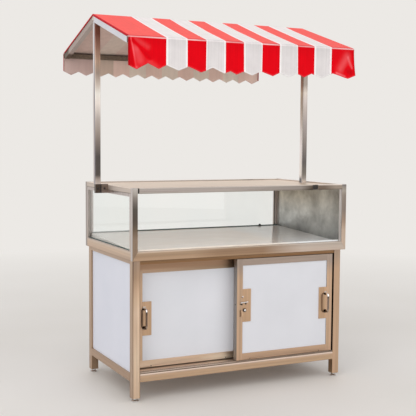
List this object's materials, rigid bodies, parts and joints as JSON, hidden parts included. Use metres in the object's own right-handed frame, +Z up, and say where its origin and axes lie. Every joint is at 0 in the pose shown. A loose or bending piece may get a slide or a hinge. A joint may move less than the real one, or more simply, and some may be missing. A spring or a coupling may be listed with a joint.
{
  "type": "steel vending stall with sliding-door cabinet, glazed display case and striped gable canopy",
  "caption": "Steel vending stall: cabinet with sliding doors, open-fronted display case with glass and a top shelf, and a striped gable canopy on posts.",
  "frame": {"origin": "middle of the footprint's box at floor level, straight under the middle of the ridge's depth", "axes": "+Z up, +Y from the door side to the glazed back, +X to the right seen from the door side"},
  "size_m": [1.309, 1.009, 1.907],
  "materials": {
    "brushed_steel": "brushed stainless steel",
    "canopy_steel": "brushed stainless steel tube",
    "polished_sheet": "polished stainless sheet",
    "gloss_sheet": "white gloss enamelled sheet",
    "weathered_sheet": "stained, dull stainless sheet",
    "white_panel": "white powder coat",
    "chrome_fittings": "bright chrome",
    "feet": "plated steel",
    "nylon": "dark nylon",
    "dark_bracket": "dark blackened steel",
    "glass": "clear float glass with a green edge",
    "striped_fabric": "coated fabric in red and white stripes"
  },
  "bodies": {
    "stall": {"front_left_leg": "brushed_steel", "front_right_leg": "brushed_steel", "back_left_leg": "brushed_steel", "back_right_leg": "brushed_steel", "levelling_feet": "feet", "front_bottom_rail": "brushed_steel", "back_bottom_rail": "brushed_steel", "side_bottom_rails": "brushed_steel", "cabinet_top_rails": "brushed_steel", "side_panels": "white_panel", "back_panel": "white_panel", "cabinet_floor": "brushed_steel", "bottom_track": "brushed_steel", "top_track": "brushed_steel", "deck_long_rails": "brushed_steel", "deck_side_rails": "brushed_steel", "display_deck": "gloss_sheet", "case_posts": "brushed_steel", "top_front_rail": "brushed_steel", "top_rail_joint": "dark_bracket", "top_back_rail": "brushed_steel", "top_side_rails": "brushed_steel", "top_shelf": "polished_sheet", "left_glass": "glass", "back_glass": "glass", "glazing_beads": "brushed_steel", "end_sheet": "weathered_sheet", "canopy_posts": "canopy_steel", "left_post_bracket": "dark_bracket", "right_post_foot": "canopy_steel", "ridge_tube": "canopy_steel", "eave_tubes": "canopy_steel", "rafters": "canopy_steel", "cover_front": "striped_fabric", "cover_back": "striped_fabric", "cover_valances": "striped_fabric"},
    "left_door": {"left_door_frame": "brushed_steel", "left_door_panel": "white_panel", "left_door_plate": "brushed_steel", "left_door_handle": "chrome_fittings", "left_door_rollers": "nylon"},
    "right_door": {"right_door_frame": "brushed_steel", "right_door_panel": "white_panel", "right_door_plates": "brushed_steel", "right_door_handle": "chrome_fittings", "right_door_rollers": "nylon", "door_lock": "chrome_fittings"}
  },
  "joints": [
    {"name": "left_door_slide", "type": "slide", "parent": "stall", "child": "left_door", "axis": [1, 0, 0], "range_m": [0, 0.52]},
    {"name": "right_door_slide", "type": "slide", "parent": "stall", "child": "right_door", "axis": [1, 0, 0], "range_m": [-0.52, 0]}
  ]
}
